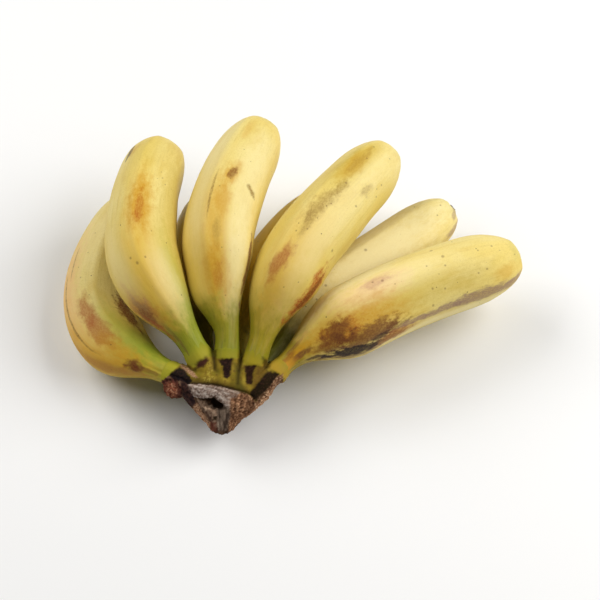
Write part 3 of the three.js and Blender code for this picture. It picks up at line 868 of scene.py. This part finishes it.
class Surface:
    """The crown's points with their (a, b) places, the grains of its wood, and its paint and relief."""

    def __init__(self, mesh):
        crown_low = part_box("crown")[0]
        self.points = read_vectors(mesh.vertices, "co") / MM
        self.normals = read_vectors(mesh.vertex_normals, "vector").copy()
        front = np.array((0, -math.cos(FRONT_SLOPE), math.sin(FRONT_SLOPE)))
        up = np.array((0, math.sin(FRONT_SLOPE), math.cos(FRONT_SLOPE)))
        apex = np.array((crown_low.x / MM + APEX_INSET, crown_low.y / MM, APEX_HEIGHT))
        # The cut face is where the crown faces the way of the cut and lies near its plane
        facing = CUT_FACING / np.linalg.norm(CUT_FACING)
        off_cut = np.abs((self.points - apex - CUT_PLACE) @ facing)
        self.cut = step(self.normals @ facing, 0.4, 0.7) * step(off_cut, 2.6, 1.4)

        self.a = self.points[:, 0] - apex[0]
        self.b = (self.points - apex) @ up
        self.front = step(self.normals @ front, -0.15, 0.25)
        # Places in which one step across counts for many along a fibre
        fan = np.arctan2(self.a, self.b + FAN_DEPTH)
        reach = np.hypot(self.a, self.b + FAN_DEPTH)
        depth = (self.points - apex) @ front
        self.fibre = np.stack([fan * FAN_WIDTH, reach * 0.12, depth * 0.35], 1)

        # Grains of the wood: broad stains, torn edges, crumbs, layers across it, strands along it
        self.broad = self.noise(self.points, 0.35)
        self.torn = self.noise(self.points, 0.9) + 0.5 * self.noise(self.points + 40, 2.1)
        self.crumb = 1.25 * self.noise(self.points + 80, 1.55)
        layers = np.stack([self.a * 0.3, self.b * 1.3 + self.a * 0.4, np.zeros_like(self.a)], 1)
        self.layer = self.noise(layers, 0.8) + 0.8 * self.noise(layers * 2 + 7, 0.9)
        self.strand = self.noise(self.fibre, 1.0) + 0.6 * self.noise(self.fibre + 9, 2.3)

        self.colour = np.tile(tint(*WOOD)[:3], (len(self.points), 1))
        self.relief = np.zeros(len(self.points))
        self.wood = np.ones(len(self.points))

    def noise(self, places, scale):
        return np.array([noise.noise(Vector(p) * scale) for p in places])

    def shape(self, corners, soft=0.3, ragged=0.25):
        """How much each point of the front belongs to the patch with these (a, b) corners."""
        places = np.stack([self.a, self.b], 1)
        inside = np.zeros(len(places), bool)
        away = np.full(len(places), 100.0)
        for start, end in zip(corners, corners[1:] + corners[:1]):
            side = np.subtract(end, start)
            share = ((places - start) @ side / (side @ side)).clip(0, 1)
            away = np.minimum(away, np.linalg.norm(places - start - share[:, None] * side, axis=1))
            if side[1]:
                crossed = (start[1] > self.b) != (end[1] > self.b)
                inside ^= crossed & (self.a < start[0] + (self.b - start[1]) * side[0] / side[1])
        away = np.where(inside, -away, away) + ragged * self.torn
        return step(away, soft, -soft) * self.front

    def above(self, line, soft=0.4, ragged=0.3):
        """1 above a line of (a, b) points across the front, 0 below it."""
        level = np.interp(self.a, [p[0] for p in line], [p[1] for p in line])
        return step(self.b - level + ragged * self.torn, -soft, soft)

    def lay(self, amount, shade, wood=None):
        """One coat of colour. A coat with wood given also sets how woody its patch is."""
        amount = np.clip(amount, 0, 1)
        self.colour += (np.array(tint(*shade)[:3]) - self.colour) * amount[:, None]
        if wood is not None:
            self.wood += (wood - self.wood) * amount

    def texture(self, amount, grain, light, dark, middle=None):
        """A coat with lighter and darker grains in it."""
        if middle:
            self.lay(amount, middle, 1.0)
        self.lay(amount * step(grain, 0.08, 0.55), light)
        self.lay(amount * step(grain, -0.08, -0.55), dark)


# Below, the numbers after a patch are the softness and the raggedness of its edge in mm, a factor is
# the strength of its coat, and shades are red, green and blue from 0 to 255.

def raised(line, height):
    return [(a, b + height) for a, b in line]


def paint_wood(s):
    """Dry wood all over, the torn brown face with painted shadow, the rotted bowl and its fibres in
    front.
    """
    s.lay(step(s.broad, -0.3, 0.5) * 0.6, (92, 64, 46))
    s.texture(0.9, s.strand, (158, 126, 98), (52, 36, 28))
    s.relief += 0.45 * s.strand + 0.25 * s.torn
    brown = s.shape(BROWN_WOOD, 0.8, 0.6)
    grain = 0.8 * s.crumb + 0.5 * s.strand
    s.texture(brown * 0.9, grain, (204, 156, 118), (70, 44, 31), (140, 98, 70))
    s.relief += brown * 0.35 * s.crumb
    # Painted shadow on the right of the brown face
    s.lay(s.shape(BROWN_FACE_SHADOW, 1.2, 0.8) * 0.6, (62, 34, 18))
    s.lay(brown * step(s.torn, -0.2, -0.8) * 0.7, (62, 38, 28))
    s.texture(s.shape(BOWL, 0.6, 0.4) * 0.85, s.torn, (206, 178, 150), (104, 78, 62), (164, 136, 114))
    fibres = s.shape(GREY_FIBRES, 0.7, 0.4)
    s.texture(fibres * 0.85, s.strand, (178, 160, 142), (62, 48, 40), (126, 110, 96))
    left_rim = s.shape(LEFT_RIM, 0.5, 0.5)
    s.texture(left_rim * 0.9, s.crumb, (228, 186, 148), (104, 62, 46), (178, 134, 102))
    s.lay(s.shape(DARK_LINE, 0.4, 0.3) * 0.8, (58, 26, 22))
    s.lay(s.shape(RED_SPOT, 0.6, 0.5) * 0.75, (104, 44, 34))


def paint_lip(s):
    """The weathered grey lip over the bowl, in layers, browner to the right."""
    lip = s.shape(LIP, 0.7, 0.55)
    s.texture(lip * 0.92, s.layer, (218, 204, 192), (92, 72, 62), (154, 134, 122))
    s.texture(lip * 0.45, s.crumb, (230, 216, 204), (84, 64, 54))
    s.lay(lip * step(s.torn, -0.3, -0.9) * 0.5, (92, 72, 62))
    s.lay(lip * step(s.a, -1, 6) * 0.6, (138, 106, 84))
    s.relief += lip * (0.7 + 0.35 * s.torn - s.relief)
    s.lay(s.shape(LIP_SLIT, 0.4, 0.3) * 0.6, (96, 78, 68))


def paint_flesh(s):
    """The olive skin above the lip, smooth and mottled, with painted shade and a groove along its lower
    edge.
    """
    flesh = s.above(FLESH_EDGE, 0.25, 0.2) * s.front
    s.lay(flesh, (144, 122, 38), 0.25)
    s.lay(flesh * step(s.broad, 0.0, 0.5) * 0.5, (176, 154, 56))
    s.lay(flesh * step(s.broad, 0.0, -0.5) * 0.6, (100, 92, 24))
    s.lay(flesh * step(s.torn, 0.0, 0.8) * 0.7, (96, 68, 26))
    # Painted shade: darker within about 2 mm of the lower edge, under the overhanging lip
    s.lay(flesh * (1 - s.above(raised(FLESH_EDGE, 2.2), 1.6, 0.5)) * 0.75, (74, 57, 19))
    s.texture(s.shape(FLESH_CRUMBS, 0.8, 0.6) * 0.38, s.crumb, (204, 186, 84), (120, 96, 34))
    s.lay(s.shape(OLIVE_SHADE, 1.2, 0.3) * 0.8, (72, 66, 18))
    s.relief -= flesh * s.relief * 0.85
    # A groove along the lower edge, painted dark as shade under the lip
    shaded_groove = s.above(raised(FLESH_EDGE, -0.2), 0.2) * (1 - s.above(raised(FLESH_EDGE, 0.7), 0.3)) * s.front
    s.lay(shaded_groove * 0.9 * step(s.a, 14, 4), (40, 28, 18))
    s.relief -= shaded_groove * 0.45


def paint_collars(s, stalks):
    """The green skin up each stalk, with a painted sheen, paler at its root, and painted shade between
    stalks.
    """
    for stalk in stalks:
        root, along = np.array(stalk["root"]) / MM, np.array(stalk["along"])
        run = (s.points - root) @ along
        out = np.linalg.norm(s.points - root - run[:, None] * along, axis=1) - stalk["radius"] / MM
        if stalk["lower"]:
            skin = step(out, 1.6, 0.4) * step(run + 0.5 * s.torn, -2.6, 0.2)
        else:
            skin = step(out, 2.8, 1.4) * s.above(STALK_EDGE, 0.25, 0.12) * step(run, -9, -7)
        red, green, blue = stalk["green"]
        # Painted sheen: the skin is a little paler than its stalk, to match the glossier peel beside it
        s.lay(skin, (red * 0.93 + 12, green * 0.93 + 12, blue * 0.93 + 12), 0.0)
        s.lay(skin * step(run, 5, 0), (red + 20, green + 10, blue + 16))
        s.relief -= skin * s.relief
    # Painted shade in the valleys between the stalks
    for corners in VALLEYS:
        s.lay(s.shape(corners, 0.8, 0.35) * 0.8, (44, 34, 12))


def paint_scars(s):
    """The dark dried scars below the stalks, each in a brownish halo, and a pale streak."""
    s.lay(s.shape(BROWN_FLESH, 1.6, 0.8) * 0.7, (98, 70, 26))
    streak = s.shape(STREAK, 0.25, 0.15)
    s.texture(streak * 0.95, s.crumb, (200, 160, 124), (134, 96, 68), (174, 134, 100))
    for corners in (SCAR_2, SCAR_3, SCAR_4):
        s.lay(s.shape(corners, 1.2, 0.5) * 0.5, (86, 60, 24))
    for corners, soft, shade in [
        (SCAR_1, 0.4, (15, 13, 22)), (SCAR_2, 0.7, (62, 30, 26)), (SCAR_3, 0.4, (25, 11, 18)),
        (SCAR_4, 0.45, (34, 15, 14)), (SCAR_5, 0.5, (19, 12, 12)),
    ]:
        scar = s.shape(corners, soft, 0.4)
        s.lay(scar * 0.96, shade, 1.0)
        s.lay(scar * step(s.crumb, 0.1, 0.6) * 0.25, (96, 60, 50))
        s.relief -= scar * 0.4


def paint_stub(s):
    """The reddish stub of a broken finger, a painted highlight on its pale core, and the dark wood
    beside it.
    """
    s.texture(s.shape(DARK_ZONE, 0.4, 0.3) * 0.95, s.torn, (86, 56, 50), (28, 18, 22), (50, 32, 34))
    stub = s.shape(STUB, 0.4, 0.4)
    small = [(a * 0.5 - 10.2, b * 0.55 + 8) for a, b in STUB]  # the same outline, drawn in
    core_and_highlight = s.shape(small, 1.2, 0.6)
    s.texture(stub, s.torn, (132, 76, 60), (36, 18, 20), (80, 44, 38))
    # The pale core, painted lighter still as a highlight
    s.texture(core_and_highlight * 0.9, s.crumb, (255, 196, 156), (76, 34, 28), (198, 118, 86))
    s.relief += stub * 0.5 * s.torn


def paint_cut(s):
    """The crumbly rim that the knife cut bare along the right of the crown."""
    cut = np.maximum(s.cut, s.shape(RIM, 0.3, 0.3)) * step(s.a, RIM_END + 0.8, RIM_END - 0.8)
    cut *= step(s.a + 0.4 * s.torn, RIM_START - 0.6, RIM_START + 0.6)
    s.texture(cut, s.crumb, (232, 188, 148), (82, 50, 36), (156, 113, 82))
    s.lay(cut * step(s.b, 9, 3) * 0.6, (112, 76, 54))
    s.lay(cut * step(s.a, 18, 23) * 0.55, (72, 46, 34))
    s.relief += cut * (0.35 * s.crumb + 0.3 * s.torn - s.relief)


def shape_front(s):
    """The hole, crack and pit go in, and the apex is made blunt and slimmer, all darkened as painted
    shade.
    """
    hole = np.maximum(s.shape(HOLE, 0.4, 0.6), 0.9 * s.shape(CRACK, 0.3, 0.45))
    pit = s.shape(PIT, 0.4, 0.2)
    # Painted shade: the hole, the crack and the pit are darker, as shaded hollows
    s.lay(np.maximum(hole, pit), (66, 52, 36), 1.0)
    s.relief -= 0.5 * hole + 0.6 * pit
    s.relief += 0.9 * np.exp(-((s.b - 1.0) / 3.0) ** 2) * step(np.abs(s.a), 0.6, 2.5)
    for a, b, height, half_width, half_height in BULGES:
        s.relief += height * np.exp(-((s.a - a) / half_width) ** 2 - ((s.b - b) / half_height) ** 2)
    # Painted shade: darker along the bottom of the front, at the apex
    s.lay(step(s.b + s.torn, 2.4, -0.4) * s.front * 0.55, (62, 42, 32))


def crown_material():
    """The painted colours, with fine strands and crumbs wherever the crown is woody."""
    material, n = new_material("crown_wood")
    painted = n.add("ShaderNodeAttribute", attribute_name="tone").outputs
    fibre = n.add("ShaderNodeAttribute", attribute_name="fibre").outputs["Vector"]
    place = n.vector("MULTIPLY", n.add("ShaderNodeTexCoord").outputs["Object"], (1000, 1000, 1000))
    woody = painted["Alpha"]
    strands = n.noise(fibre, 3.0, 4.0, 0.65)
    crumbs = n.noise(place, 2.2, 4.0, 0.65)
    darker = n.math("MULTIPLY", n.ramp(strands, 0.55, 0.75, 0.0, 0.35), woody)
    colour = n.blend(darker, painted["Color"], (0.0, 0.0, 0.0, 1), "MULTIPLY")
    specked = n.math("MULTIPLY", n.ramp(crumbs, 0.35, 0.6, 0.3, 0.0), woody)
    colour = n.blend(specked, colour, tint(60, 44, 30))
    height = n.math("ADD", n.math("MULTIPLY", strands, 0.6), n.math("MULTIPLY", crumbs, 0.6))
    height = n.math("MULTIPLY", height, n.ramp(woody, 0.0, 1.0, 0.15, 1.0))
    roughness = n.ramp(woody, 0.0, 1.0, 0.45, 0.88)
    finish_material(n, colour, roughness, height, 0.4 * MM, Specular_IOR_Level=0.05)
    return material


def make_crown(stalks):
    piece = crown_body(stalks)
    mesh = piece.data
    surface = Surface(mesh)
    paint_wood(surface)
    paint_lip(surface)
    paint_flesh(surface)
    paint_collars(surface, stalks)
    paint_scars(surface)
    paint_stub(surface)
    paint_cut(surface)
    shape_front(surface)
    fibre = mesh.attributes.new("fibre", "FLOAT_VECTOR", "POINT")
    fibre.data.foreach_set("vector", surface.fibre.astype(np.float32).ravel())
    tone = mesh.attributes.new("tone", "FLOAT_COLOR", "POINT")
    shades = np.c_[surface.colour, surface.wood]
    tone.data.foreach_set("color", shades.astype(np.float32).ravel())
    stand_proud(mesh, surface.relief)
    mesh.shade_smooth()
    mesh.materials.clear()
    mesh.materials.append(crown_material())
    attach(piece, BODY)
    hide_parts("crown")


# ---- The hand -----------------------------------------------------------------------------

set_camera()
set_studio()
make_floor()
stain_and_light = stain_and_light_group()
make_crown([make_finger(index, name, stain_and_light) for index, name in enumerate(FINGERS)])
